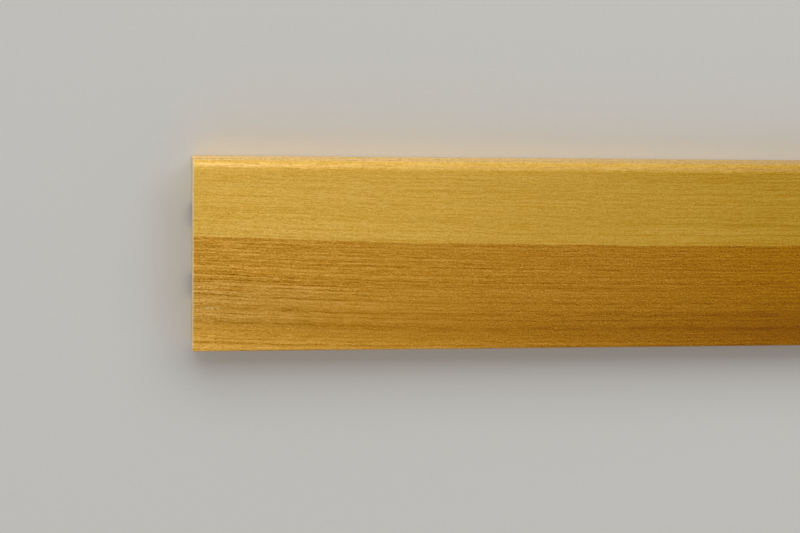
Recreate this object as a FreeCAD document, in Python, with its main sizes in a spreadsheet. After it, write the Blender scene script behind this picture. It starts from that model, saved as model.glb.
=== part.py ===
# Skirting board length
#
# A straight length of lacquered timber skirting, sawn square at both ends.
# The section is flat-faced: the front top edge is a plain round-over, the other
# long arrises are only eased, and two shallow relief grooves run the whole
# length of the back so that the board stays flat against the wall.
#
# The board lies on its back on a level floor, face up. All sizes are millimetres.
#   X  along the length, with the middle of the length at 0
#   Y  across the face: the bottom edge (floor side when fitted) at -Y,
#      the rounded top edge at +Y, the middle of the height at 0
#   Z  through the thickness: back at 0, face at board_thickness

import FreeCAD, Part

import os
import Sketcher

NODE = "skirting_board"
LINE_FIT = 1e-4

# alias, value, what the size is
SIZES = [
    ("board_length", 2400.0, "stock length, sawn square"),
    ("board_height", 80.0, "height of the face when fitted"),
    ("board_thickness", 16.0, "back to face"),
    ("top_round_radius", 4.0, "round-over of the front top edge"),
    ("arris_radius", 0.6, "easing of the three other long arrises"),
    ("relief_count", 2, "relief grooves in the back"),
    ("relief_width", 10.0, "width of each relief groove"),
    ("relief_depth", 3.0, "depth of each relief groove"),
    ("relief_corner_radius", 1.5, "rounding of the groove's floor corners"),
    ("relief_pitch", 30.0, "middle of one groove to the middle of the next"),
    ("cutter_overrun", 1.0, "how far the groove cutter starts behind the back"),
]


def make_sheet(doc):
    """The driving dimensions, one per row, each with its alias."""
    sheet = doc.addObject("Spreadsheet::Sheet", "sizes")
    for row, (alias, value, note) in enumerate(SIZES, start=1):
        sheet.set(f"A{row}", alias)
        sheet.set(f"B{row}", str(value))
        sheet.setAlias(f"B{row}", alias)
        sheet.set(f"C{row}", note)
    doc.recompute()
    return sheet


def section_sketch(body, name):
    """A sketch on the body's YZ plane: sketch x is the board's Y, sketch y its Z."""
    sketch = body.newObject("Sketcher::SketchObject", name)
    plane = next(f for f in body.Origin.OriginFeatures if f.Role == "YZ_Plane")
    sketch.AttachmentSupport = [(plane, "")]
    sketch.MapMode = "FlatFace"
    return sketch


def add_lines(sketch, corners):
    """Lines from each corner to the next. The ends are joined by constraints later."""
    lines = []
    for start, end in zip(corners, corners[1:]):
        segment = Part.LineSegment(FreeCAD.Vector(*start, 0), FreeCAD.Vector(*end, 0))
        lines.append(sketch.addGeometry(segment, False))
    return lines


def add_arc(sketch, centre, radius, start_deg, end_deg):
    circle = Part.Circle(FreeCAD.Vector(*centre, 0), FreeCAD.Vector(0, 0, 1), radius)
    turn = FreeCAD.Units.Quantity
    arc = Part.ArcOfCircle(
        circle,
        turn(f"{start_deg} deg").getValueAs("rad").Value,
        turn(f"{end_deg} deg").getValueAs("rad").Value,
    )
    return sketch.addGeometry(arc, False)


def bind(sketch, kind, name, value, expression, *where):
    """A named driving constraint whose value is read from the sheet."""
    index = sketch.addConstraint(Sketcher.Constraint(kind, *where, value))
    sketch.renameConstraint(index, name)
    sketch.setExpression(f"Constraints.{name}", expression)


def draw_outline(sketch, sheet):
    """The moulded outline: flat back, flat edges, flat face and the top round-over."""
    half = sheet.board_height / 2
    thick = sheet.board_thickness
    radius = sheet.top_round_radius
    back, top_edge = add_lines(sketch, [(-half, 0), (half, 0), (half, thick - radius)])
    face, bottom_edge = add_lines(sketch, [(half - radius, thick), (-half, thick), (-half, 0)])
    nose = add_arc(sketch, (half - radius, thick - radius), radius, 0, 90)
    start, end = 1, 2
    joined = Sketcher.Constraint
    sketch.addConstraint([
        joined("Coincident", back, end, top_edge, start),
        joined("Coincident", face, end, bottom_edge, start),
        joined("Coincident", bottom_edge, end, back, start),
        joined("Tangent", top_edge, end, nose, start),
        joined("Tangent", nose, end, face, start),
        joined("Horizontal", back),
        joined("Horizontal", face),
        joined("Vertical", top_edge),
        joined("Vertical", bottom_edge),
        joined("Symmetric", back, start, back, end, -1, 1),
    ])
    bind(sketch, "Distance", "height", 2 * half, "sizes.board_height", back)
    bind(sketch, "Distance", "thickness", thick, "sizes.board_thickness", bottom_edge)
    bind(sketch, "Radius", "top_round", radius, "sizes.top_round_radius", nose)


def draw_groove(sketch, sheet):
    """One relief groove: straight flanks and a flat floor with rounded corners.
    It is the groove nearest the bottom edge, and the pattern adds the others."""
    middle = -sheet.relief_pitch * (sheet.relief_count - 1) / 2
    half = sheet.relief_width / 2
    deep = sheet.relief_depth
    radius = sheet.relief_corner_radius
    low = -sheet.cutter_overrun
    left, right = middle - half, middle + half
    flank_out, mouth, flank_in = add_lines(
        sketch, [(left, deep - radius), (left, low), (right, low), (right, deep - radius)]
    )
    (floor,) = add_lines(sketch, [(right - radius, deep), (left + radius, deep)])
    corner_in = add_arc(sketch, (right - radius, deep - radius), radius, 0, 90)
    corner_out = add_arc(sketch, (left + radius, deep - radius), radius, 90, 180)
    start, end, centre = 1, 2, 3
    joined = Sketcher.Constraint
    sketch.addConstraint([
        joined("Coincident", flank_out, end, mouth, start),
        joined("Coincident", mouth, end, flank_in, start),
        joined("Tangent", flank_in, end, corner_in, start),
        joined("Tangent", corner_in, end, floor, start),
        joined("Tangent", floor, end, corner_out, start),
        joined("Tangent", corner_out, end, flank_out, start),
        joined("Horizontal", mouth),
        joined("Horizontal", floor),
        joined("Vertical", flank_in),
        joined("Equal", corner_in, corner_out),
    ])
    bind(sketch, "Distance", "width", 2 * half, "sizes.relief_width", mouth)
    bind(sketch, "Radius", "corner", radius, "sizes.relief_corner_radius", corner_in)
    bind(sketch, "DistanceY", "depth", deep, "sizes.relief_depth", -1, 1, floor, start)
    bind(sketch, "DistanceY", "overrun", -low, "sizes.cutter_overrun", mouth, end, -1, 1)
    bind(
        sketch, "DistanceX", "offset", right,
        "sizes.relief_width / 2 - sizes.relief_pitch * (sizes.relief_count - 1) / 2",
        -1, 1, mouth, end,
    )


def long_edges(shape, corners, length):
    """Names of the full-length edges that lie on these (y, z) corners."""
    names = []
    for index, edge in enumerate(shape.Edges, start=1):
        first, last = (v.Point for v in (edge.Vertexes[0], edge.Vertexes[-1]))
        if abs(abs(first.x - last.x) - length) > LINE_FIT:
            continue
        for y, z in corners:
            if abs(first.y - y) < LINE_FIT and abs(first.z - z) < LINE_FIT:
                names.append(f"Edge{index}")
    return names


def make_board(doc, sheet):
    """Moulded outline run to length, relief grooves cut in the back, arrises eased."""
    body = doc.addObject("PartDesign::Body", NODE)
    body.Label = NODE

    outline = section_sketch(body, "moulded_outline")
    draw_outline(outline, sheet)
    run = body.newObject("PartDesign::Pad", "run_to_length")
    run.Profile = outline
    run.SideType = "Symmetric"
    run.setExpression("Length", "sizes.board_length")
    doc.recompute()

    groove = section_sketch(body, "relief_groove")
    draw_groove(groove, sheet)
    cut = body.newObject("PartDesign::Pocket", "relief_cut")
    cut.Profile = groove
    cut.SideType = "Symmetric"
    cut.Type = "ThroughAll"
    doc.recompute()

    grooves = body.newObject("PartDesign::LinearPattern", "relief_grooves")
    grooves.Originals = [cut]
    grooves.Direction = (groove, ["H_Axis"])
    grooves.Mode = "Spacing"
    grooves.setExpression("Offset", "sizes.relief_pitch")
    grooves.setExpression("Occurrences", "sizes.relief_count")
    body.Tip = grooves
    doc.recompute()

    half = sheet.board_height / 2
    corners = [(-half, 0), (half, 0), (-half, sheet.board_thickness)]
    eased = body.newObject("PartDesign::Fillet", "eased_arrises")
    eased.Base = (grooves, long_edges(grooves.Shape, corners, sheet.board_length))
    eased.setExpression("Radius", "sizes.arris_radius")
    body.Tip = eased
    doc.recompute()

    body.Placement = FreeCAD.Placement()
    return body


def check(doc, bodies):
    """Stops before anything is written if a feature failed or a solid is unsound."""
    failed = [o.Name for o in doc.Objects if {"Invalid", "Error"} & set(o.State)]
    if failed:
        raise RuntimeError(f"these features failed: {failed}")
    for body in bodies:
        shape = body.Shape
        if shape.isNull() or not shape.isValid() or len(shape.Solids) != 1:
            raise RuntimeError(f"{body.Label} is not one sound solid")


def main():
    doc = FreeCAD.newDocument("skirting_board_length")
    sheet = make_sheet(doc)
    bodies = [make_board(doc, sheet)]
    doc.recompute()
    check(doc, bodies)
    os.makedirs("parts", exist_ok=True)
    for body in bodies:
        body.Shape.exportStep(f"parts/{body.Label}.step")
        box = body.Shape.BoundBox
        print(body.Label, "volume mm3", round(body.Shape.Volume, 1), "box", box)


main()
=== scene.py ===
# Skirting board length, the looks
#
# One straight board of clear-lacquered timber, lying on its back on a pale studio
# floor. Everything is in metres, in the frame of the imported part: X along the length,
# Y up the face, Z through the thickness. Grain is worked out in millimetres.

import math

import bpy
from bpy.props import FloatProperty, FloatVectorProperty, IntProperty, PointerProperty
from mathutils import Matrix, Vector


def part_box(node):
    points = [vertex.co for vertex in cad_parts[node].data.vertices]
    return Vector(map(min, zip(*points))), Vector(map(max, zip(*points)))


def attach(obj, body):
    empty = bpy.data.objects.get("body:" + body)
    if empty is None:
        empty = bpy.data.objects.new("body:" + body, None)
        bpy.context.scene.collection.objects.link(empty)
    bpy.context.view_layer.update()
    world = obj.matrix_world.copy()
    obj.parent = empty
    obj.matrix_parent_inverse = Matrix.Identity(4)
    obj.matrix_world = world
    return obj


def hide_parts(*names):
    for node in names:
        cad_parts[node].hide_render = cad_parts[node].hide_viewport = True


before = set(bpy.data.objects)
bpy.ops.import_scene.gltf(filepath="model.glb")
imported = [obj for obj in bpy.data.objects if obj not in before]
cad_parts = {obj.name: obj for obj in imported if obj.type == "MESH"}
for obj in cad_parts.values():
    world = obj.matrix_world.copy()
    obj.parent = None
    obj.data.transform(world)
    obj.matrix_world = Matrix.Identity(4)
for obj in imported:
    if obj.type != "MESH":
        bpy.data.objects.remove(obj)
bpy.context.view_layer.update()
NODE = "skirting_board"
PIECE = "moulded_board"
BODY = "root"
LOW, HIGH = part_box(NODE)
BAKE_MAP = "OFBake"
# Millimetres in a metre
MM = 1000.0
# How far along X a face has to look to count as a sawn end
END_NORMAL = 0.7

bl_info = {
    "name": "Skirting board length",
    "version": (1, 0, 0),
    "blender": (4, 5, 0),
    "location": "3D View > Sidebar > Skirting",
    "description": "Builds a lacquered skirting board and the studio that it lies in",
    "category": "Add Mesh",
}

# Broad changes of tone across the grain: place in mm below the top edge, brightness
TONE_BANDS = (
    (0.0, 1.0),
    (15.0, 1.01),
    (24.0, 0.99),
    (30.0, 1.02),
    (35.0, 1.0),
    (36.5, 1.0),
    (41.0, 1.01),
    (50.0, 1.0),
    (58.0, 1.03),
    (63.0, 1.03),
    (67.0, 1.0),
    (69.5, 0.99),
    (72.0, 0.95),
    (76.0, 0.99),
    # Painted highlight: the last bands make the bottom few mm of the face and the bottom edge lighter,
    # standing in for light caught along the bottom arris
    (77.5, 1.11),
    (84.0, 1.25),
    (90.0, 1.0),
)
TONE_SPAN = 90.0

# Lines that stand out in the grain: place in mm below the top edge, half width in mm, strength
GRAIN_LINES = (
    (5.0, 0.5, 0.25),
    (7.8, 0.5, 0.3),
    (10.0, 0.4, 0.2),
    (19.0, 0.4, 0.2),
    (23.7, 0.5, 0.25),
    (25.6, 0.5, 0.35),
    (27.4, 0.5, 0.35),
    (36.3, 0.8, 0.42),
    (38.2, 0.6, 0.42),
    (40.4, 0.6, 0.5),
    (43.5, 0.6, 0.4),
    (46.0, 0.6, 0.45),
    (47.8, 0.6, 0.45),
    (52.2, 0.7, 0.65),
    (54.4, 0.7, 0.55),
    (57.0, 0.5, 0.35),
    (59.0, 0.5, 0.35),
    (61.0, 0.9, 0.7),
    (66.2, 1.9, 0.62),
    (72.0, 1.5, 0.66),
    (77.3, 0.5, 0.35),
)

# Streaks of the fibre: length in mm, width in mm, strength
FIBRE_STREAKS = (
    (90.0, 2.0, 0.3),
    (28.0, 0.9, 0.3),
    (9.0, 0.6, 0.4),
    (3.0, 0.5, 0.52),
    (1.0, 0.5, 0.75),
)
# Grain of the mottle between the streaks in mm
MOTTLE = 0.5
# How far the grain wanders past the first third of a metre, and its slow swings along and across, all in mm
WANDER = 26.0
WANDER_START, WANDER_FULL = 260.0, 900.0
WANDER_LENGTH, WANDER_WIDTH = 420.0, 170.0
# Years: how many they drift by over how many mm, and the shares of a year where its line peaks and has faded
YEAR_DRIFT, DRIFT_WIDTH = 2.4, 7.0
LINE_PEAK, LINE_FADED = 0.22, 0.65
# Depth of colour, with painted falloff of the light: full this far from the left end in mm, a darkening that
# stands in for the light fading away from that end; then changing with slow swings along the board
PAINTED_FALLOFF_REACH = 250.0
CHANGE_START, CHANGE_FULL = 320.0, 800.0
CHANGE_LENGTH = 480.0
# How fast bare wood loses its blue where it is darker
BARE_BLUE_FALL = 1.8
# Marks of the planer's knives: distance in mm
KNIFE_PITCH = 1.8
# Marks of the saw: width in mm, and how much they bend over the thickness
SAW_MARK = 0.5
SAW_BEND = 0.012

# Pale knocks in the face: mm from the left end, mm below the top edge, half length and half width in mm
KNOCKS = (
    (1.9, 62.2, 0.6, 0.5),
    (6.2, 61.3, 1.8, 0.4),
    (8.0, 61.6, 0.7, 0.7),
    (10.4, 61.6, 0.6, 0.6),
    (13.5, 66.8, 0.4, 0.4),
)

# Straight runs of the board on the export's map: lowest and highest place on it, 0 to 1
FRONT_RUNS = ((0.635, 0.995), (0.265, 0.625))
BACK_RUNS = ((0.165, 0.255), (0.075, 0.155))
END_RUN = (0.005, 0.065)
MAP_EDGE = 0.004


class BoardSizes(bpy.types.PropertyGroup):
    """Sizes of the board and of its mesh."""

    length: FloatProperty(
        name="Length",
        description="Sawn length of the board",
        default=HIGH.x - LOW.x,
        unit="LENGTH",
    )
    height: FloatProperty(
        name="Height",
        description="Height of the face when the board is fitted",
        default=HIGH.y - LOW.y,
        unit="LENGTH",
    )
    thickness: FloatProperty(
        name="Thickness",
        description="Back to face",
        default=HIGH.z - LOW.z,
        unit="LENGTH",
    )
    round_over: FloatProperty(
        name="Round-over",
        description="Radius of the front top edge",
        default=0.004,
        unit="LENGTH",
    )
    arris: FloatProperty(
        name="Arris",
        description="Easing of the other long arrises",
        default=0.0006,
        unit="LENGTH",
    )
    relief_count: IntProperty(
        name="Relief grooves",
        description="Grooves along the back",
        default=2,
        min=0,
    )
    relief_width: FloatProperty(
        name="Relief width",
        description="Width of each groove in the back",
        default=0.010,
        unit="LENGTH",
    )
    relief_depth: FloatProperty(
        name="Relief depth",
        description="Depth of each groove in the back",
        default=0.003,
        unit="LENGTH",
    )
    relief_corner: FloatProperty(
        name="Relief corner",
        description="Radius of the floor corners of each groove",
        default=0.0015,
        unit="LENGTH",
    )
    relief_pitch: FloatProperty(
        name="Relief pitch",
        description="Middle of one groove to the middle of the next",
        default=0.030,
        unit="LENGTH",
    )
    arc_steps: IntProperty(
        name="Arc steps",
        description="Points on each rounded corner of the section",
        default=12,
        min=2,
    )
    spacing: FloatProperty(
        name="Point spacing",
        description="Longest side between two points of the section",
        default=0.0006,
        unit="LENGTH",
    )
    rings: IntProperty(
        name="Rings",
        description="Sections along the length, an odd number so that one is at the middle",
        default=101,
        min=3,
    )
    end_spacing: FloatProperty(
        name="End spacing",
        description="Distance between the sections next to an end",
        default=0.0003,
        unit="LENGTH",
    )
    chip_depth: FloatProperty(
        name="Chip depth",
        description="Deepest splinter that the saw tore out of the end arrises",
        default=0.0005,
        unit="LENGTH",
    )
    chip_reach: FloatProperty(
        name="Chip reach",
        description="How far a torn splinter runs along the grain",
        default=0.0025,
        unit="LENGTH",
    )
    chip_width: FloatProperty(
        name="Chip width",
        description="Usual width of a torn splinter across the grain",
        default=0.0013,
        unit="LENGTH",
    )
    seed: IntProperty(
        name="Seed",
        description="Picks another set of splinters",
        default=4,
    )


class BoardFinish(bpy.types.PropertyGroup):
    """Colours of the timber and gloss of the lacquer."""

    sapwood: FloatVectorProperty(
        name="Sapwood",
        description="Pale wood above, under lacquer",
        default=(0.610, 0.363, 0.061),
        subtype="COLOR",
        size=3,
    )
    # Painted shade in part: the sapwood colour away from the left end, darker also to stand in for the light
    # fading from that end
    deep_and_shaded_sapwood: FloatVectorProperty(
        name="Deep sapwood",
        description="Pale wood where it has darkened",
        default=(0.488, 0.274, 0.022),
        subtype="COLOR",
        size=3,
    )
    heartwood: FloatVectorProperty(
        name="Heartwood",
        description="Brown wood below, under lacquer",
        default=(0.528, 0.270, 0.033),
        subtype="COLOR",
        size=3,
    )
    # Painted shade in part: the heartwood colour away from the left end, darker also to stand in for the
    # light fading from that end
    deep_and_shaded_heartwood: FloatVectorProperty(
        name="Deep heartwood",
        description="Brown wood where it has darkened",
        default=(0.378, 0.160, 0.001),
        subtype="COLOR",
        size=3,
    )
    worn_lacquer: FloatVectorProperty(
        name="Worn lacquer",
        description="Wood that shows where the lacquer is knocked or worn off",
        default=(0.60, 0.45, 0.20),
        subtype="COLOR",
        size=3,
    )
    planed_sapwood: FloatVectorProperty(
        name="Planed sapwood",
        description="Pale wood of the back, without lacquer",
        default=(0.67, 0.48, 0.27),
        subtype="COLOR",
        size=3,
    )
    planed_heartwood: FloatVectorProperty(
        name="Planed heartwood",
        description="Brown wood of the back, without lacquer",
        default=(0.50, 0.33, 0.17),
        subtype="COLOR",
        size=3,
    )
    sawn_sapwood: FloatVectorProperty(
        name="Sawn sapwood",
        description="End grain of the pale wood",
        default=(0.72, 0.57, 0.34),
        subtype="COLOR",
        size=3,
    )
    sawn_heartwood: FloatVectorProperty(
        name="Sawn heartwood",
        description="End grain of the brown wood",
        default=(0.64, 0.48, 0.28),
        subtype="COLOR",
        size=3,
    )
    gloss_roughness: FloatProperty(
        name="Lacquer roughness",
        description="Lower is shinier",
        default=0.28,
        min=0.0,
        max=1.0,
    )


class StudioSettings(bpy.types.PropertyGroup):
    """The floor, the lamps and the camera."""

    floor_colour: FloatVectorProperty(
        name="Floor",
        description="Colour of the studio floor",
        default=(0.85, 0.838, 0.80),
        subtype="COLOR",
        size=3,
    )
    sky: FloatProperty(
        name="Sky",
        description="Even light from all round",
        default=0.62,
        min=0.0,
    )
    zenith: FloatProperty(
        name="Zenith",
        description="Light from straight above, low so that the lacquer keeps its depth",
        default=0.08,
        min=0.0,
    )
    key_power: FloatProperty(
        name="Key lamp",
        description="Soft lamp past the left end",
        default=1.95,
        unit="POWER",
    )
    window_power: FloatProperty(
        name="Window lamp",
        description="Wide soft lamp on the top edge's side, even along the board",
        default=52.0,
        unit="POWER",
    )
    low_power: FloatProperty(
        name="Low lamp",
        description="Small low lamp that draws the sheen on the round-over near the left end",
        default=0.07,
        unit="POWER",
    )


class Wiring:
    """Adds nodes to one tree and joins them up."""

    def __init__(self, tree):
        self.tree = tree

    def feed(self, socket, value):
        """Sets a socket to a number, or joins it to another socket."""
        if isinstance(value, bpy.types.NodeSocket):
            self.tree.links.new(value, socket)
        else:
            socket.default_value = value

    def add(self, kind, inputs=None, **settings):
        """A node with its settings, and its inputs by name or place."""
        node = self.tree.nodes.new(kind)
        for name, value in settings.items():
            setattr(node, name, value)
        for name, value in (inputs or {}).items():
            self.feed(node.inputs[name], value)
        return node

    def math(self, operation, *values, clamp=False):
        """A number worked out from numbers."""
        inputs = dict(enumerate(values))
        return self.add("ShaderNodeMath", inputs, operation=operation, use_clamp=clamp).outputs["Value"]

    def vector(self, operation, *values):
        """A vector worked out from vectors."""
        inputs = dict(enumerate(values))
        return self.add("ShaderNodeVectorMath", inputs, operation=operation).outputs["Vector"]

    def measure(self, operation, *values):
        """A number worked out from vectors."""
        inputs = dict(enumerate(values))
        return self.add("ShaderNodeVectorMath", inputs, operation=operation).outputs["Value"]

    def ramp(self, value, low, high, to_low=0.0, to_high=1.0):
        """A smooth step of value from to_low to to_high."""
        inputs = {"Value": value, "From Min": low, "From Max": high, "To Min": to_low, "To Max": to_high}
        return self.add("ShaderNodeMapRange", inputs, interpolation_type="SMOOTHSTEP").outputs[0]

    def point(self, x, y, z):
        """A vector from its parts."""
        return self.add("ShaderNodeCombineXYZ", {"X": x, "Y": y, "Z": z}).outputs[0]

    def parts(self, vector):
        """The X, Y and Z of a vector."""
        return self.add("ShaderNodeSeparateXYZ", {"Vector": vector}).outputs

    def grains(self, place, length, width):
        """A place on the board counted in grains of this length and width."""
        along, across, depth = place
        return self.point(
            self.math("DIVIDE", along, length),
            self.math("DIVIDE", across, width),
            self.math("DIVIDE", depth, width),
        )

    def noise(self, place, detail=2.0, roughness=0.5):
        """Noise of one unit's grain at a place, about 0.5 on average."""
        inputs = {"Vector": place, "Scale": 1.0, "Detail": detail, "Roughness": roughness}
        return self.add("ShaderNodeTexNoise", inputs).outputs["Fac"]

    def swing(self, noise):
        """Noise moved to lie about nought."""
        return self.math("SUBTRACT", noise, 0.5)

    def mix(self, factor, first, second, blend="MIX"):
        """Two colours mixed. The node has its colour inputs at 6 and 7, its colour output at 2."""
        inputs = {0: factor, 6: first, 7: second}
        return self.add("ShaderNodeMix", inputs, data_type="RGBA", blend_type=blend).outputs[2]

    def shape(self, kind, inputs, **settings):
        """The geometry that a node gives."""
        return self.add(kind, inputs, **settings).outputs["Geometry"]

    def store(self, geometry, name, value, kind="FLOAT", domain="POINT"):
        """Geometry that keeps a value under a name."""
        inputs = {"Geometry": geometry, "Name": name, "Value": value}
        return self.shape("GeometryNodeStoreNamedAttribute", inputs, data_type=kind, domain=domain)

    def group(self, tree, **inputs):
        """A node group in use. Names have _ for a space."""
        node = self.add("ShaderNodeGroup", node_tree=tree)
        for name, value in inputs.items():
            self.feed(node.inputs[name.replace("_", " ")], value)
        return node.outputs


def new_group(name, inputs, outputs, kind="ShaderNodeTree"):
    """An empty node group with named sockets, its wiring and its input sockets."""
    tree = bpy.data.node_groups.new(name, kind)
    for label, socket_kind, default in inputs:
        socket = tree.interface.new_socket(name=label, in_out="INPUT", socket_type=socket_kind)
        if default is not None:
            socket.default_value = default
    for label, socket_kind in outputs:
        tree.interface.new_socket(name=label, in_out="OUTPUT", socket_type=socket_kind)
    wiring = Wiring(tree)
    return tree, wiring, wiring.add("NodeGroupInput").outputs, wiring.add("NodeGroupOutput").inputs


def colour(value):
    """A colour with full alpha."""
    return (*value, 1.0)


def grain_flow_group(sizes):
    """Board places in mm, bent so that the grain runs straight in them."""
    inputs = (
        ("Position", "NodeSocketVector", None),
        ("Swell", "NodeSocketFloat", 5.5),
        ("Swell Reach", "NodeSocketFloat", 83.0),
        ("Waviness", "NodeSocketFloat", 1.6),
        ("Slope", "NodeSocketFloat", 0.45),
    )
    outputs = (
        ("Along", "NodeSocketFloat"),
        ("Across", "NodeSocketFloat"),
        ("Depth", "NodeSocketFloat"),
        ("To End", "NodeSocketFloat"),
        ("Below", "NodeSocketFloat"),
    )
    tree, w, given, result = new_group("grain_flow", inputs, outputs)
    place = w.parts(given["Position"])
    along = w.math("MULTIPLY_ADD", place["X"], MM, sizes.length / 2 * MM)
    below = w.math("MULTIPLY_ADD", place["Y"], -MM, sizes.height / 2 * MM)
    depth = w.math("MULTIPLY_ADD", place["Z"], -MM, sizes.thickness * MM)
    # The grain swells up towards the left end, most of all in the middle of the face
    reach = w.math("DIVIDE", w.math("MAXIMUM", along, 0.0), given["Swell Reach"])
    fade = w.math("EXPONENT", w.math("MULTIPLY", w.math("POWER", reach, 1.2), -1.0))
    upper = w.ramp(below, -10.0, 20.0, 0.0, 0.8)
    lower = w.math("ADD", w.ramp(below, 30.0, 44.0, 0.0, 0.2), w.ramp(below, 66.0, 80.0, 0.0, -0.5))
    share = w.math("ADD", upper, lower)
    swell = w.math("MULTIPLY", w.math("MULTIPLY", fade, share), given["Swell"])
    # Past the first third of a metre it wanders slowly
    swings = w.point(w.math("DIVIDE", along, WANDER_LENGTH), w.math("DIVIDE", below, WANDER_WIDTH), 3.1)
    wander_limit = w.ramp(along, WANDER_START, WANDER_FULL, 0.0, WANDER)
    wander = w.math("MULTIPLY", w.swing(w.noise(swings, 1.0)), wander_limit)
    near = w.noise(w.grains((along, below, depth), 30.0, 6.0))
    wave = w.math("MULTIPLY", w.swing(near), given["Waviness"])
    leaning = w.math("MULTIPLY_ADD", depth, given["Slope"], below)
    w.feed(result["Along"], along)
    w.feed(result["Across"], w.math("ADD", w.math("ADD", leaning, swell), w.math("ADD", wander, wave)))
    w.feed(result["Depth"], depth)
    rest = w.math("SUBTRACT", sizes.length * MM, along)
    w.feed(result["To End"], w.math("MINIMUM", along, rest))
    w.feed(result["Below"], below)
    return tree


def grain_line_group():
    """One dark line of the grain, at a place across it."""
    inputs = (
        ("Across", "NodeSocketFloat", 0.0),
        ("Place", "NodeSocketFloat", 0.0),
        ("Half Width", "NodeSocketFloat", 0.5),
        ("Strength", "NodeSocketFloat", 1.0),
    )
    tree, w, given, result = new_group("grain_line", inputs, (("Line", "NodeSocketFloat"),))
    away = w.math("ABSOLUTE", w.math("SUBTRACT", given["Across"], given["Place"]))
    w.feed(result["Line"], w.ramp(away, 0.0, given["Half Width"], given["Strength"], 0.0))
    return tree


def set_ramp(ramp, stops, span):
    """Grey stops along a span. A ramp holds 0 to 1, so half stands for 1."""
    while len(ramp.elements) < len(stops):
        ramp.elements.new(0.5)
    for element, (place, value) in zip(ramp.elements, stops):
        element.position = place / span
        element.color = colour((value * 0.5,) * 3)


def year_lines(w, across, year_width):
    """A line for each year. The years are uneven in width, and each line has a strength of its own."""
    drift = w.noise(w.point(w.math("DIVIDE", across, DRIFT_WIDTH), 0.0, 0.0), 1.0)
    years = w.math("MULTIPLY_ADD", drift, YEAR_DRIFT, w.math("DIVIDE", across, year_width))
    phase = w.math("FRACT", years)
    number = w.math("FLOOR", years)
    chance = w.add("ShaderNodeTexWhiteNoise", {"W": number}, noise_dimensions="1D").outputs["Value"]
    rise = w.ramp(phase, 0.0, LINE_PEAK)
    fall = w.ramp(phase, LINE_PEAK, LINE_FADED, 1.0, 0.0)
    return w.math("MULTIPLY", w.math("MULTIPLY", rise, fall), w.ramp(chance, 0.0, 1.0, 0.3, 0.75))


def bold_lines(w, across, line_tree):
    """The lines that stand out."""
    bold = 0.0
    for where, half_width, strength in GRAIN_LINES:
        line = w.group(line_tree, Across=across, Place=where, Half_Width=half_width, Strength=strength)
        bold = w.math("MAXIMUM", line["Line"], bold)
    return bold


def depth_and_painted_falloff(w, along):
    """The wood is made darker away from the left end, a painted falloff that stands in for the light fading
    from that end, then its depth comes and goes along the length.
    """
    near = w.math("DIVIDE", along, PAINTED_FALLOFF_REACH, clamp=True)
    swings = w.noise(w.point(w.math("DIVIDE", along, CHANGE_LENGTH), 0.0, 7.3), 1.0)
    changing = w.ramp(swings, 0.35, 0.65, 0.15, 1.0)
    far = w.ramp(along, CHANGE_START, CHANGE_FULL)
    return w.math("MULTIPLY_ADD", far, w.math("SUBTRACT", changing, near), near)


def growth_group(line_tree):
    """Growth lines, tone and heartwood from the grain's own places."""
    inputs = (
        ("Along", "NodeSocketFloat", 0.0),
        ("Across", "NodeSocketFloat", 0.0),
        ("Depth", "NodeSocketFloat", 0.0),
        ("Year Width", "NodeSocketFloat", 1.9),
        ("Heart Edge", "NodeSocketFloat", 35.3),
    )
    outputs = (
        ("Lines", "NodeSocketFloat"),
        ("Pores", "NodeSocketFloat"),
        ("Tone", "NodeSocketFloat"),
        ("Heart", "NodeSocketFloat"),
        ("Richness", "NodeSocketFloat"),
    )
    tree, w, given, result = new_group("growth", inputs, outputs)
    along, across = given["Along"], given["Across"]
    place = (along, across, given["Depth"])
    w.feed(result["Heart"], w.ramp(w.math("SUBTRACT", across, given["Heart Edge"]), -0.3, 0.3))
    years = year_lines(w, across, given["Year Width"])
    lines = w.math("MAXIMUM", years, bold_lines(w, across, line_tree))
    # The lines break up into dashes along the grain
    dashes = w.ramp(w.noise(w.grains(place, 11.0, 0.9), 3.0, 0.6), 0.38, 0.60, 0.2, 1.0)
    w.feed(result["Lines"], w.math("MULTIPLY", lines, dashes))
    # Pores are densest in the lines
    pores = w.ramp(w.noise(w.grains(place, 4.0, 0.3)), 0.5, 0.68)
    w.feed(result["Pores"], w.math("MULTIPLY", pores, w.math("MULTIPLY_ADD", lines, 0.7, 0.3)))
    richness_and_falloff = depth_and_painted_falloff(w, along)
    w.feed(result["Richness"], richness_and_falloff)
    # Where the colour is deep, it is made deepest towards the bottom edge: near the left end a painted shade
    # for the light fading towards the bottom, further on the wood's own depth
    darker_below_and_shade = w.math("MULTIPLY", w.ramp(across, 46.0, 80.0, 0.0, 0.26), richness_and_falloff)
    tone = w.add("ShaderNodeValToRGB", {"Fac": w.math("DIVIDE", across, TONE_SPAN)})
    set_ramp(tone.color_ramp, TONE_BANDS, TONE_SPAN)
    tone_light = w.math("MULTIPLY", tone.outputs["Color"], 2.0)
    w.feed(result["Tone"], w.math("MULTIPLY", tone_light, w.math("SUBTRACT", 1.0, darker_below_and_shade)))
    return tree


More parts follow.
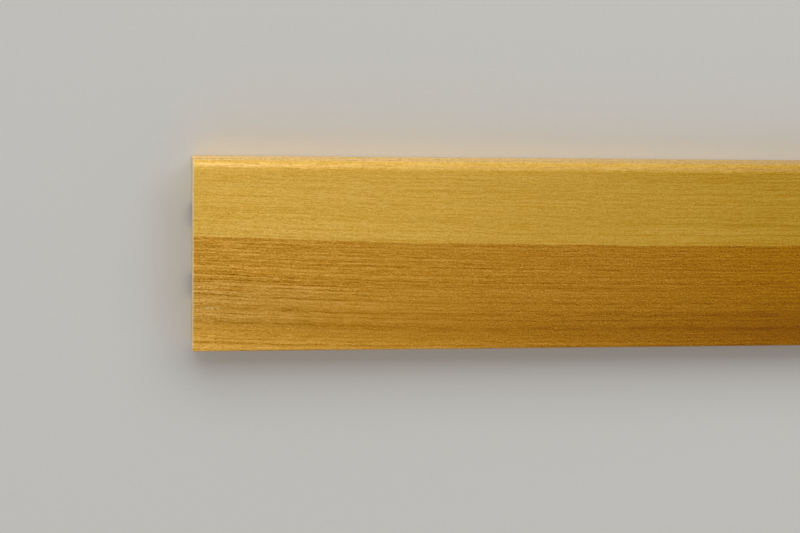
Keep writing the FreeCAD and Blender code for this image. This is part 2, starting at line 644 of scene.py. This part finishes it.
def fibre_group():
    """Fine streaks and flecks of the wood fibre."""
    inputs = (
        ("Along", "NodeSocketFloat", 0.0),
        ("Across", "NodeSocketFloat", 0.0),
        ("Depth", "NodeSocketFloat", 0.0),
    )
    outputs = (
        ("Streaks", "NodeSocketFloat"),
        ("Mottle", "NodeSocketFloat"),
        ("Flecks", "NodeSocketFloat"),
        ("Warmth", "NodeSocketFloat"),
    )
    tree, w, given, result = new_group("fibre", inputs, outputs)
    place = (given["Along"], given["Across"], given["Depth"])
    streaks = 0.0
    for length, width, strength in FIBRE_STREAKS:
        swing = w.swing(w.noise(w.grains(place, length, width)))
        streaks = w.math("MULTIPLY_ADD", swing, strength, streaks)
    w.feed(result["Streaks"], streaks)
    w.feed(result["Mottle"], w.swing(w.noise(w.grains(place, MOTTLE, MOTTLE), 1.0)))
    w.feed(result["Flecks"], w.ramp(w.noise(w.grains(place, 3.0, 0.4)), 0.64, 0.76))
    w.feed(result["Warmth"], w.noise(w.grains(place, 40.0, 1.1)))
    return tree


def shade_group():
    """Wood made lighter or deeper: where it is darker it is browner too."""
    inputs = (
        ("Wood", "NodeSocketColor", None),
        ("Light", "NodeSocketFloat", 1.0),
        ("Green Fall", "NodeSocketFloat", 1.3),
        ("Blue Fall", "NodeSocketFloat", 3.0),
    )
    tree, w, given, result = new_group("shade", inputs, (("Color", "NodeSocketColor"),))
    light = w.math("MAXIMUM", given["Light"], 0.05)
    green = w.math("POWER", light, given["Green Fall"])
    blue = w.math("POWER", light, given["Blue Fall"])
    w.feed(result["Color"], w.vector("MULTIPLY", given["Wood"], w.point(light, green, blue)))
    return tree


def wood_groups(sizes):
    """The groups that the three wood surfaces share."""
    return {
        "flow": grain_flow_group(sizes),
        "growth": growth_group(grain_line_group()),
        "fibre": fibre_group(),
        "shade": shade_group(),
    }


def new_material(name):
    """A material with only its shader and output, and its wiring."""
    material = bpy.data.materials.new(name)
    material.use_nodes = True
    material.node_tree.nodes.clear()
    w = Wiring(material.node_tree)
    shader = w.add("ShaderNodeBsdfPrincipled")
    output = w.add("ShaderNodeOutputMaterial")
    w.feed(output.inputs["Surface"], shader.outputs["BSDF"])
    return material, w, shader


def grain(w, groups):
    """The grain at each point of a board: its places, growth and fibre."""
    place = w.add("ShaderNodeTexCoord").outputs["Object"]
    flow = w.group(groups["flow"], Position=place)
    places = {name: flow[name] for name in ("Along", "Across", "Depth")}
    return flow, w.group(groups["growth"], **places), w.group(groups["fibre"], **places)


def lightened(w, light, mark, amount):
    """A light factor raised by a mark, or lowered where the amount is below nought."""
    return w.math("MULTIPLY", light, w.math("MULTIPLY_ADD", mark, amount, 1.0))


def raise_relief(w, shader, height, strength, distance):
    """Bump from a height, one unit of which stands for a distance in metres."""
    bump = w.add("ShaderNodeBump", {"Strength": strength, "Distance": distance, "Height": height})
    w.feed(shader.inputs["Normal"], bump.outputs["Normal"])


def lacquered_wood(w, finish, flow, growth, fibre):
    """Colour of the wood under lacquer before its figure: sapwood above, heartwood below."""
    # Away from the left end the deep and shaded colours take over: painted falloff of the light near that
    # end, the wood's own swings further on
    sap = w.mix(w.math("POWER", growth["Richness"], 1.4), colour(finish.sapwood), colour(finish.deep_and_shaded_sapwood))
    brown = w.mix(growth["Richness"], colour(finish.heartwood), colour(finish.deep_and_shaded_heartwood))
    # Painted sheen: near the left end the brown wood is made paler and yellower between the middle and the
    # bottom edge, standing in for the lacquer's sheen there
    band_start = w.ramp(flow["Across"], 49.0, 62.0)
    band_end = w.ramp(flow["Across"], 71.0, 77.0, 1.0, 0.0)
    near_left = w.ramp(flow["Along"], 0.0, 110.0, 0.9, 0.1)
    painted_sheen = w.math("MULTIPLY", w.math("MULTIPLY", band_start, band_end), near_left)
    tint = w.point(1.0, w.math("MULTIPLY_ADD", painted_sheen, 0.07, 1.0), w.math("MULTIPLY_ADD", painted_sheen, 0.65, 1.0))
    wood = w.mix(growth["Heart"], sap, w.vector("MULTIPLY", brown, tint))
    # Streaks of the grain lean to orange by turns
    return w.mix(w.ramp(fibre["Warmth"], 0.5, 0.68), wood, colour((1.0, 0.95, 0.78)), "MULTIPLY")


def figure_amount(w, flow, growth):
    """Strength of the figure: more in the heartwood, and clearest there near the left end."""
    sap_figure = w.math(
        "ADD",
        w.ramp(flow["Along"], 0.0, 140.0, 0.75, 0.58),
        w.ramp(flow["Along"], 170.0, 250.0, 0.0, 0.12),
    )
    low_figure = w.math(
        "MAXIMUM",
        w.ramp(flow["Below"], 52.0, 60.0, 1.0, 0.69),
        w.ramp(flow["Along"], 60.0, 180.0, 0.0, 0.85),
    )
    heart_figure = w.math("MULTIPLY", w.ramp(flow["Along"], 0.0, 130.0, 1.56, 0.97), low_figure)
    figure = w.mix(growth["Heart"], w.point(sap_figure, 0.0, 0.0), w.point(heart_figure, 0.0, 0.0))
    return w.parts(figure)["X"]


def figure_light(w, flow, growth, fibre):
    """Light and dark of the figure, about 1 on average, with a painted highlight on the edges."""
    amount = figure_amount(w, flow, growth)
    light = lightened(w, growth["Tone"], fibre["Streaks"], amount)
    line_amount = w.math("MULTIPLY", amount, w.ramp(growth["Heart"], 0.0, 1.0, -0.26, -0.46))
    light = lightened(w, light, growth["Lines"], line_amount)
    heart_mottle = w.ramp(flow["Along"], 40.0, 180.0, 0.6, 1.9)
    light = lightened(w, light, fibre["Mottle"], w.ramp(growth["Heart"], 0.0, 1.0, 0.6, heart_mottle))
    light = lightened(w, light, growth["Pores"], -0.11)
    light = lightened(w, light, fibre["Flecks"], 0.12)
    # Painted highlight: the edges are made a little paler than the face, standing in for the light that falls
    # on the top edge
    return w.math("MULTIPLY", light, w.ramp(flow["Depth"], 0.8, 3.5, 1.0, 1.07))


def bare_spots(w, flow):
    """Where no lacquer is left, from 0 to 1."""
    # The lacquer stops a little short of the sawn end, and where splinters are torn out
    ragged = w.point(w.math("DIVIDE", flow["Across"], 1.5), w.math("DIVIDE", flow["Depth"], 1.5), 0.0)
    worn_width = w.ramp(w.noise(ragged), 0.3, 0.7, 0.15, 0.75)
    worn = w.add("ShaderNodeMapRange", {"Value": flow["To End"], "From Min": worn_width, "From Max": 0.1})
    torn = w.ramp(w.add("ShaderNodeAttribute", attribute_name="torn").outputs["Fac"], 0.1, 0.8)
    bare = w.math("MAXIMUM", torn, worn.outputs[0])
    for along, below, half_length, half_width in KNOCKS:
        beside = w.math("DIVIDE", w.math("SUBTRACT", flow["Along"], along), half_length)
        under = w.math("DIVIDE", w.math("SUBTRACT", flow["Below"], below), half_width)
        away = w.measure("LENGTH", w.point(beside, under, 0.0))
        bare = w.math("MAXIMUM", bare, w.ramp(away, 0.3, 1.0, 0.65, 0.0))
    return bare


def lacquered_face(finish, groups):
    """Clear lacquer over the two tones of the face, edges and round-over."""
    material, w, shader = new_material("lacquered_face")
    shader.inputs["Specular IOR Level"].default_value = 0.35
    flow, growth, fibre = grain(w, groups)
    wood = lacquered_wood(w, finish, flow, growth, fibre)
    light = figure_light(w, flow, growth, fibre)
    # Deep wood, and wood under the painted falloff, gains and loses more of its brown
    green_fall = w.math("MULTIPLY_ADD", growth["Richness"], 0.15, 1.3)
    blue_fall = w.math("MULTIPLY_ADD", growth["Richness"], 2.0, 3.4)
    figured = w.group(groups["shade"], Wood=wood, Light=light, Green_Fall=green_fall, Blue_Fall=blue_fall)
    bare = bare_spots(w, flow)
    w.feed(shader.inputs["Base Color"], w.mix(bare, figured["Color"], colour(finish.worn_lacquer)))
    roughness = w.math("MULTIPLY_ADD", fibre["Streaks"], 0.2, finish.gloss_roughness)
    w.feed(shader.inputs["Roughness"], w.math("ADD", roughness, w.math("MULTIPLY", bare, 0.4)))
    relief = w.math("MULTIPLY_ADD", growth["Lines"], -0.6, w.math("MULTIPLY", fibre["Streaks"], 0.7))
    height = w.math("MULTIPLY_ADD", growth["Pores"], -0.5, relief)
    raise_relief(w, shader, height, 0.25, 0.00008)
    return material


def planed_back(finish, groups):
    """Bare wood straight from the planer, on the back and in its grooves."""
    material, w, shader = new_material("planed_back")
    flow, growth, fibre = grain(w, groups)
    wood = w.mix(growth["Heart"], colour(finish.planed_sapwood), colour(finish.planed_heartwood))
    light = lightened(w, 0.9, fibre["Streaks"], 0.9)
    light = lightened(w, light, growth["Lines"], -0.3)
    shaded = w.group(groups["shade"], Wood=wood, Light=light, Blue_Fall=BARE_BLUE_FALL)
    w.feed(shader.inputs["Base Color"], shaded["Color"])
    w.feed(shader.inputs["Roughness"], w.math("MULTIPLY_ADD", fibre["Streaks"], 0.2, 0.72))
    # Knife marks of the planer cross the grain
    knife = w.math("SINE", w.math("MULTIPLY", flow["Along"], 2.0 * math.pi / KNIFE_PITCH))
    height = w.math("MULTIPLY_ADD", knife, 0.3, fibre["Streaks"])
    raise_relief(w, shader, height, 0.4, 0.0001)
    return material


def sawn_end(finish, groups):
    """Bare end grain with the marks of the saw."""
    material, w, shader = new_material("sawn_end")
    _, growth, fibre = grain(w, groups)
    wood = w.mix(growth["Heart"], colour(finish.sawn_sapwood), colour(finish.sawn_heartwood))
    light = lightened(w, 1.0, fibre["Streaks"], 0.6)
    light = lightened(w, light, growth["Lines"], -0.35)
    light = lightened(w, light, growth["Pores"], -0.4)
    shaded = w.group(groups["shade"], Wood=wood, Light=light, Blue_Fall=BARE_BLUE_FALL)
    w.feed(shader.inputs["Base Color"], shaded["Color"])
    shader.inputs["Roughness"].default_value = 0.85
    # The saw leaves fine arcs across the thickness
    place = w.parts(w.add("ShaderNodeTexCoord").outputs["Object"])
    bend = w.math("MULTIPLY", w.math("POWER", w.math("MULTIPLY", place["Z"], MM), 2.0), SAW_BEND)
    sweep = w.math("MULTIPLY_ADD", place["Y"], MM, bend)
    marks = w.noise(w.point(w.math("DIVIDE", sweep, SAW_MARK), 0.0, 0.0))
    height = w.math("MULTIPLY_ADD", growth["Pores"], -0.8, marks)
    raise_relief(w, shader, height, 0.7, 0.00015)
    return material


def section_corners(sizes):
    """Corners of the section with their radii, anticlockwise seen from +X."""
    half = sizes.height / 2
    corners = [(-half, 0.0, sizes.arris)]
    for number in range(sizes.relief_count):
        middle = (number - (sizes.relief_count - 1) / 2) * sizes.relief_pitch
        left = middle - sizes.relief_width / 2
        right = middle + sizes.relief_width / 2
        corners.append((left, 0.0, 0.0))
        corners.append((left, sizes.relief_depth, sizes.relief_corner))
        corners.append((right, sizes.relief_depth, sizes.relief_corner))
        corners.append((right, 0.0, 0.0))
    corners.append((half, 0.0, sizes.arris))
    corners.append((half, sizes.thickness, sizes.round_over))
    corners.append((-half, sizes.thickness, sizes.arris))
    return corners


def section_outline(sizes):
    """A closed loop of edges through the section's corners, across X."""
    corners = section_corners(sizes)
    mesh = bpy.data.meshes.new("section_outline")
    edges = [(i, (i + 1) % len(corners)) for i in range(len(corners))]
    # The sweep lays its section's X along -Y and its Y along -Z
    mesh.from_pydata([(-y, -z, 0.0) for y, z, radius in corners], edges, [])
    radii = mesh.attributes.new("corner_radius", "FLOAT", "POINT")
    radii.data.foreach_set("value", [radius for y, z, radius in corners])
    outline = bpy.data.objects.new("board", mesh)
    bpy.context.scene.collection.objects.link(outline)
    return outline


def rounded_section(w, given, here):
    """The section as a curve: sharp corners rounded, long sides cut into short ones."""
    loop = w.add("GeometryNodeMeshToCurve", {"Mesh": given["Outline"]}).outputs["Curve"]
    radius = w.add("GeometryNodeInputNamedAttribute", {"Name": "corner_radius"}, data_type="FLOAT")
    rounding = {"Curve": loop, "Count": given["Arc Steps"], "Radius": radius.outputs["Attribute"]}
    rounded = w.add("GeometryNodeFilletCurve", rounding, mode="POLY").outputs["Curve"]
    after = w.add("GeometryNodeOffsetPointInCurve", {"Offset": 1}).outputs["Point Index"]
    there = w.add("GeometryNodeFieldAtIndex", {"Index": after, "Value": here}, data_type="FLOAT_VECTOR")
    side = w.measure("DISTANCE", here, there.outputs["Value"])
    cuts = w.math("FLOOR", w.math("DIVIDE", side, given["Point Spacing"]))
    section = w.add("GeometryNodeSubdivideCurve", {"Curve": rounded, "Cuts": cuts}).outputs["Curve"]
    # Each point keeps its distance round the section, for the export's map
    section = w.store(section, "girth", w.add("GeometryNodeSplineParameter").outputs["Length"])
    return w.store(section, "whole_girth", w.add("GeometryNodeSplineLength").outputs["Length"])


def crowded_path(w, given, here, half):
    """The straight path of the sweep. Its rings crowd towards both ends, where the splinters are."""
    line = w.add("GeometryNodeCurvePrimitiveLine", {"Start": (-1.0, 0.0, 0.0), "End": (1.0, 0.0, 0.0)})
    path = w.add("GeometryNodeResampleCurve", {"Curve": line.outputs["Curve"], "Count": given["Rings"]})
    share = w.parts(here)["X"]
    inwards = w.math("SUBTRACT", 1.0, w.math("ABSOLUTE", share))
    half_rings = w.math("MULTIPLY_ADD", given["Rings"], 0.5, -0.5)
    even = w.math("MULTIPLY", half_rings, given["End Spacing"])
    widening = w.math("MULTIPLY", w.math("SUBTRACT", half, even), w.math("POWER", inwards, 3.0))
    inset = w.math("MULTIPLY_ADD", inwards, even, widening)
    signed = w.math("MULTIPLY", w.math("SUBTRACT", half, inset), w.math("SIGN", share))
    stretched = {"Geometry": path.outputs["Curve"], "Position": w.point(signed, 0.0, 0.0)}
    return w.shape("GeometryNodeSetPosition", stretched)


def splinter_depth(w, given, spot, half):
    """How deep a splinter is torn out at a point, from 0 to 1, and 0 away from the ends."""
    to_end = w.math("SUBTRACT", half, w.math("ABSOLUTE", spot["X"]))
    scale = w.math("DIVIDE", 1.0, given["Chip Width"])
    across = w.point(w.math("MULTIPLY_ADD", spot["X"], 3.0, given["Seed"]), spot["Y"], spot["Z"])
    chance = w.add("ShaderNodeTexNoise", {"Vector": across, "Scale": scale, "Detail": 2.0}).outputs["Fac"]
    depth = w.ramp(chance, 0.54, 0.74)
    reach = w.math("MULTIPLY", given["Chip Reach"], w.math("MULTIPLY_ADD", depth, 0.8, 0.2))
    near = w.math("SUBTRACT", 1.0, w.math("DIVIDE", to_end, reach), clamp=True)
    return w.math("MULTIPLY", depth, near)


def sweep_tree():
    """Sweeps the section along the length and tears small splinters at its ends."""
    inputs = (
        ("Outline", "NodeSocketGeometry", None),
        ("Length", "NodeSocketFloat", 1.0),
        ("Arc Steps", "NodeSocketInt", 8),
        ("Point Spacing", "NodeSocketFloat", 0.001),
        ("Rings", "NodeSocketInt", 61),
        ("End Spacing", "NodeSocketFloat", 0.0003),
        ("Chip Depth", "NodeSocketFloat", 0.0005),
        ("Chip Reach", "NodeSocketFloat", 0.003),
        ("Chip Width", "NodeSocketFloat", 0.001),
        ("Seed", "NodeSocketInt", 0),
        ("Back Height", "NodeSocketFloat", 0.004),
        ("Back Reach", "NodeSocketFloat", 0.039),
        ("Face", "NodeSocketMaterial", None),
        ("Back", "NodeSocketMaterial", None),
        ("End", "NodeSocketMaterial", None),
    )
    outputs = (("Board", "NodeSocketGeometry"),)
    tree, w, given, result = new_group("moulded_length", inputs, outputs, "GeometryNodeTree")
    tree.is_modifier = True
    here = w.add("GeometryNodeInputPosition").outputs["Position"]
    half = w.math("MULTIPLY", given["Length"], 0.5)
    sweep = {
        "Curve": crowded_path(w, given, here, half),
        "Profile Curve": rounded_section(w, given, here),
        "Fill Caps": True,
    }
    board = w.add("GeometryNodeCurveToMesh", sweep).outputs["Mesh"]
    # Splinters: points near an end move in from the surface, but never along the board
    spot = w.parts(here)
    torn = splinter_depth(w, given, spot, half)
    board = w.store(board, "torn", torn)
    normal = w.parts(w.add("GeometryNodeInputNormal").outputs["Normal"])
    sideways = w.vector("NORMALIZE", w.point(0.0, normal["Y"], normal["Z"]))
    shift = w.add("ShaderNodeVectorMath", operation="SCALE")
    w.feed(shift.inputs["Vector"], sideways)
    w.feed(shift.inputs["Scale"], w.math("MULTIPLY", w.math("MULTIPLY", torn, given["Chip Depth"]), -1.0))
    board = w.shape("GeometryNodeSetPosition", {"Geometry": board, "Offset": shift.outputs["Vector"]})
    # Flat faces and crisp corners
    angle = w.add("GeometryNodeInputMeshEdgeAngle").outputs["Unsigned Angle"]
    sharp = w.math("GREATER_THAN", angle, math.radians(40.0))
    board = w.store(board, "sharp_edge", sharp, "BOOLEAN", "EDGE")
    board = w.shape("GeometryNodeSetShadeSmooth", {"Geometry": board, "Shade Smooth": True})
    board = w.shape("GeometryNodeRealizeInstances", {"Geometry": board})
    # Lacquer all over, then bare wood on the back and on the sawn ends
    low = w.math("LESS_THAN", spot["Z"], given["Back Height"])
    inner = w.math("LESS_THAN", w.math("ABSOLUTE", spot["Y"]), given["Back Reach"])
    behind = w.math("MULTIPLY", low, inner)
    endwise = w.math("GREATER_THAN", w.math("ABSOLUTE", normal["X"]), END_NORMAL)
    for faces, surface in ((True, "Face"), (behind, "Back"), (endwise, "End")):
        finished = {"Geometry": board, "Selection": faces, "Material": given[surface]}
        board = w.shape("GeometryNodeSetMaterial", finished)
    w.feed(result["Board"], board)
    return tree


def set_inputs(modifier, values):
    """Sets a Geometry Nodes modifier's inputs, found by name, set by identifier."""
    for item in modifier.node_group.interface.items_tree:
        if item.in_out == "INPUT" and item.name in values:
            modifier[item.identifier] = values[item.name]


def made_plain(source, name):
    """The evaluated shape of an object as an object of its own."""
    evaluated = source.evaluated_get(bpy.context.evaluated_depsgraph_get())
    mesh = bpy.data.meshes.new_from_object(evaluated)
    mesh.name = name
    piece = bpy.data.objects.new(name, mesh)
    bpy.context.scene.collection.objects.link(piece)
    bpy.data.objects.remove(source)
    return piece


def make_board(sizes, finish):
    """The board as one plain mesh with its three finishes."""
    groups = wood_groups(sizes)
    outline = section_outline(sizes)
    modifier = outline.modifiers.new("moulded_length", "NODES")
    modifier.node_group = sweep_tree()
    values = {
        "Length": sizes.length,
        "Arc Steps": sizes.arc_steps,
        "Point Spacing": sizes.spacing,
        "Rings": sizes.rings,
        "Chip Depth": sizes.chip_depth,
        "Chip Reach": sizes.chip_reach,
        "Chip Width": sizes.chip_width,
        "Seed": sizes.seed,
        "End Spacing": sizes.end_spacing,
        "Back Height": (sizes.relief_depth + sizes.thickness) / 4,
        "Back Reach": sizes.height / 2 - sizes.arris,
        "Face": lacquered_face(finish, groups),
        "Back": planed_back(finish, groups),
        "End": sawn_end(finish, groups),
    }
    set_inputs(modifier, values)
    board = made_plain(outline, PIECE)
    add_bake_map(board.data, sizes)
    return board


def front_girth(sizes):
    """Way round the section over the top edge, the round-over, the face and its lower arris."""
    flat_top = sizes.thickness - sizes.round_over - sizes.arris
    flat_face = sizes.height - sizes.round_over - sizes.arris
    return flat_top + flat_face + (sizes.round_over + sizes.arris) * math.pi / 2


def map_place(share, low, high):
    """A share of a run as a place on the export's map."""
    return low + share * (high - low)


def add_bake_map(mesh, sizes):
    """Unrolls the board for the export: front and back in two runs each, and the two ends."""
    girth = [item.value for item in mesh.attributes["girth"].data]
    whole = mesh.attributes["whole_girth"].data[0].value
    front = front_girth(sizes)
    # The section starts at the foot of the bottom edge, so the front ends one flat edge before it
    front_end = whole - (sizes.thickness - 2 * sizes.arris)
    front_start = front_end - front
    half = sizes.length / 2
    layer = mesh.uv_layers.new(name=BAKE_MAP)
    for polygon in mesh.polygons:
        points = [mesh.vertices[number].co for number in polygon.vertices]
        if abs(polygon.normal.x) > END_NORMAL:
            side = 0.5 if polygon.center.x > 0 else 0.0
            places = []
            for point in points:
                across = map_place(point.y / sizes.height + 0.5, side + MAP_EDGE, side + 0.5 - MAP_EDGE)
                places.append((across, map_place(point.z / sizes.thickness, *END_RUN)))
        else:
            lengths = [girth[number] for number in polygon.vertices]
            wraps = max(lengths) - min(lengths) > whole / 2
            middle = sum(lengths) / len(lengths)
            in_front = not wraps and front_start < middle < front_end
            runs = FRONT_RUNS if in_front else BACK_RUNS
            run = runs[0] if polygon.center.x < 0 else runs[1]
            places = []
            for point, length in zip(points, lengths):
                along = (point.x + half) / half if polygon.center.x < 0 else point.x / half
                if in_front:
                    share = (length - front_start) / front
                else:
                    # The back's run starts under the face and goes on past the section's start
                    share = (length - front_end) % whole / (whole - front)
                places.append((map_place(along, MAP_EDGE, 1 - MAP_EDGE), map_place(share, *run)))
        for loop, place in zip(polygon.loop_indices, places):
            layer.uv[loop].vector = place
    for name in ("girth", "whole_girth", "corner_radius"):
        attribute = mesh.attributes.get(name)
        if attribute:
            mesh.attributes.remove(attribute)


def area_lamp(name, place, aim, width, height, power, spread=180.0):
    """A soft lamp that faces a point, its beam spread over some degrees."""
    data = bpy.data.lights.new(name, "AREA")
    data.shape = "RECTANGLE"
    data.size = width
    data.size_y = height
    data.energy = power
    data.spread = math.radians(spread)
    lamp = bpy.data.objects.new(name, data)
    lamp.location = place
    lamp.rotation_euler = (Vector(aim) - Vector(place)).to_track_quat("-Z", "Y").to_euler()
    lamp.visible_camera = False
    bpy.context.scene.collection.objects.link(lamp)
    return lamp


def light_only(lamp, piece):
    """Keeps a lamp's light on one piece, so that it leaves no bright pool on the floor."""
    lit = bpy.data.collections.new(f"lit_by_{lamp.name}")
    lit.objects.link(piece)
    lamp.light_linking.receiver_collection = lit


def make_floor(studio):
    """A wide pale floor just under the board."""
    reach = 30.0
    under = -0.0002
    specks_per_metre = 900.0
    mesh = bpy.data.meshes.new("studio_floor")
    corners = [(-reach, -reach, under), (reach, -reach, under), (reach, reach, under), (-reach, reach, under)]
    mesh.from_pydata(corners, [], [(0, 1, 2, 3)])
    floor = bpy.data.objects.new("studio_floor", mesh)
    bpy.context.scene.collection.objects.link(floor)
    material, w, shader = new_material("floor_paint")
    place = w.add("ShaderNodeTexCoord").outputs["Object"]
    specks = w.noise(w.vector("MULTIPLY", place, (specks_per_metre,) * 3))
    light = w.ramp(specks, 0.3, 0.7, 0.99, 1.01)
    w.feed(
        shader.inputs["Base Color"],
        w.vector("MULTIPLY", w.point(*studio.floor_colour), w.point(light, light, light)),
    )
    shader.inputs["Roughness"].default_value = 0.6
    shader.inputs["Specular IOR Level"].default_value = 0.2
    mesh.materials.append(material)


def make_sky(studio):
    """Even light from all round, dimmer straight above."""
    world = bpy.context.scene.world or bpy.data.worlds.new("studio_sky")
    bpy.context.scene.world = world
    world.use_nodes = True
    world.node_tree.nodes.clear()
    w = Wiring(world.node_tree)
    upwards = w.parts(w.add("ShaderNodeTexCoord").outputs["Generated"])["Z"]
    # Dimmest within 30 degrees of straight above, at full strength past 48
    dims_from = math.cos(math.radians(48.0))
    dimmest_from = math.cos(math.radians(30.0))
    strength = w.ramp(upwards, dims_from, dimmest_from, studio.sky, studio.zenith)
    background = w.add("ShaderNodeBackground", {"Color": (1.0, 1.0, 1.0, 1.0), "Strength": strength})
    output = w.add("ShaderNodeOutputWorld")
    w.feed(output.inputs["Surface"], background.outputs["Background"])


def make_camera():
    """The view square down on the left end, a little from above and left."""
    data = bpy.data.cameras.new("studio_camera")
    data.sensor_width = 36.0
    data.lens = 75.0
    camera = bpy.data.objects.new("studio_camera", data)
    camera.location = (-1.2211, 0.13995, 0.6910)
    camera.rotation_mode = "ZXY"
    camera.rotation_euler = (math.radians(-11.89), math.radians(-9.03), math.radians(1.74))
    bpy.context.scene.collection.objects.link(camera)
    bpy.context.scene.camera = camera


class SKIRTING_OT_board(bpy.types.Operator):
    """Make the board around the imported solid"""

    bl_idname = "skirting.board"
    bl_label = "Make the board"

    def execute(self, context):
        scene = context.scene
        board = make_board(scene.skirting_sizes, scene.skirting_finish)
        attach(board, BODY)
        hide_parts(NODE)
        return {"FINISHED"}


class SKIRTING_OT_studio(bpy.types.Operator):
    """Make the floor, the lamps and the camera"""

    bl_idname = "skirting.studio"
    bl_label = "Make the studio"

    def execute(self, context):
        studio = context.scene.skirting_studio
        make_floor(studio)
        make_sky(studio)
        left = LOW.x
        key = area_lamp(
            "key_lamp", (left - 0.72, 0.88, 1.0), (left - 0.18, 0.0, 0.0), 0.6, 0.6, studio.key_power, 60.0
        )
        area_lamp("window_lamp", (0.0, 2.4, 2.15), (0.0, 0.0, 0.0), 5.0, 2.4, studio.window_power)
        low = area_lamp(
            "low_lamp", (left - 0.02, 0.9, 0.24), (left + 0.03, 0.0, 0.0), 0.2, 0.2, studio.low_power, 40.0
        )
        for lamp in (key, low):
            light_only(lamp, bpy.data.objects[PIECE])
        make_camera()
        context.scene.view_settings.view_transform = "Standard"
        return {"FINISHED"}


class SKIRTING_PT_panel(bpy.types.Panel):
    """Lists the operators and their settings"""

    bl_idname = "SKIRTING_PT_panel"
    bl_label = "Skirting board"
    bl_space_type = "VIEW_3D"
    bl_region_type = "UI"
    bl_category = "Skirting"

    def draw(self, context):
        layout = self.layout
        scene = context.scene
        rows = (
            (SKIRTING_OT_board, (scene.skirting_sizes, scene.skirting_finish)),
            (SKIRTING_OT_studio, (scene.skirting_studio,)),
        )
        for operator, groups in rows:
            layout.operator(operator.bl_idname)
            column = layout.column(align=True)
            for group in groups:
                for name in group.bl_rna.properties.keys():
                    if name not in ("rna_type", "name"):
                        column.prop(group, name)


CLASSES = (
    BoardSizes,
    BoardFinish,
    StudioSettings,
    SKIRTING_OT_board,
    SKIRTING_OT_studio,
    SKIRTING_PT_panel,
)


def register():
    for item in CLASSES:
        bpy.utils.register_class(item)
    bpy.types.Scene.skirting_sizes = PointerProperty(type=BoardSizes)
    bpy.types.Scene.skirting_finish = PointerProperty(type=BoardFinish)
    bpy.types.Scene.skirting_studio = PointerProperty(type=StudioSettings)


def unregister():
    del bpy.types.Scene.skirting_studio
    del bpy.types.Scene.skirting_finish
    del bpy.types.Scene.skirting_sizes
    for item in reversed(CLASSES):
        bpy.utils.unregister_class(item)


def main():
    register()
    bpy.ops.skirting.board()
    bpy.ops.skirting.studio()


if __name__ == "__main__":
    main()
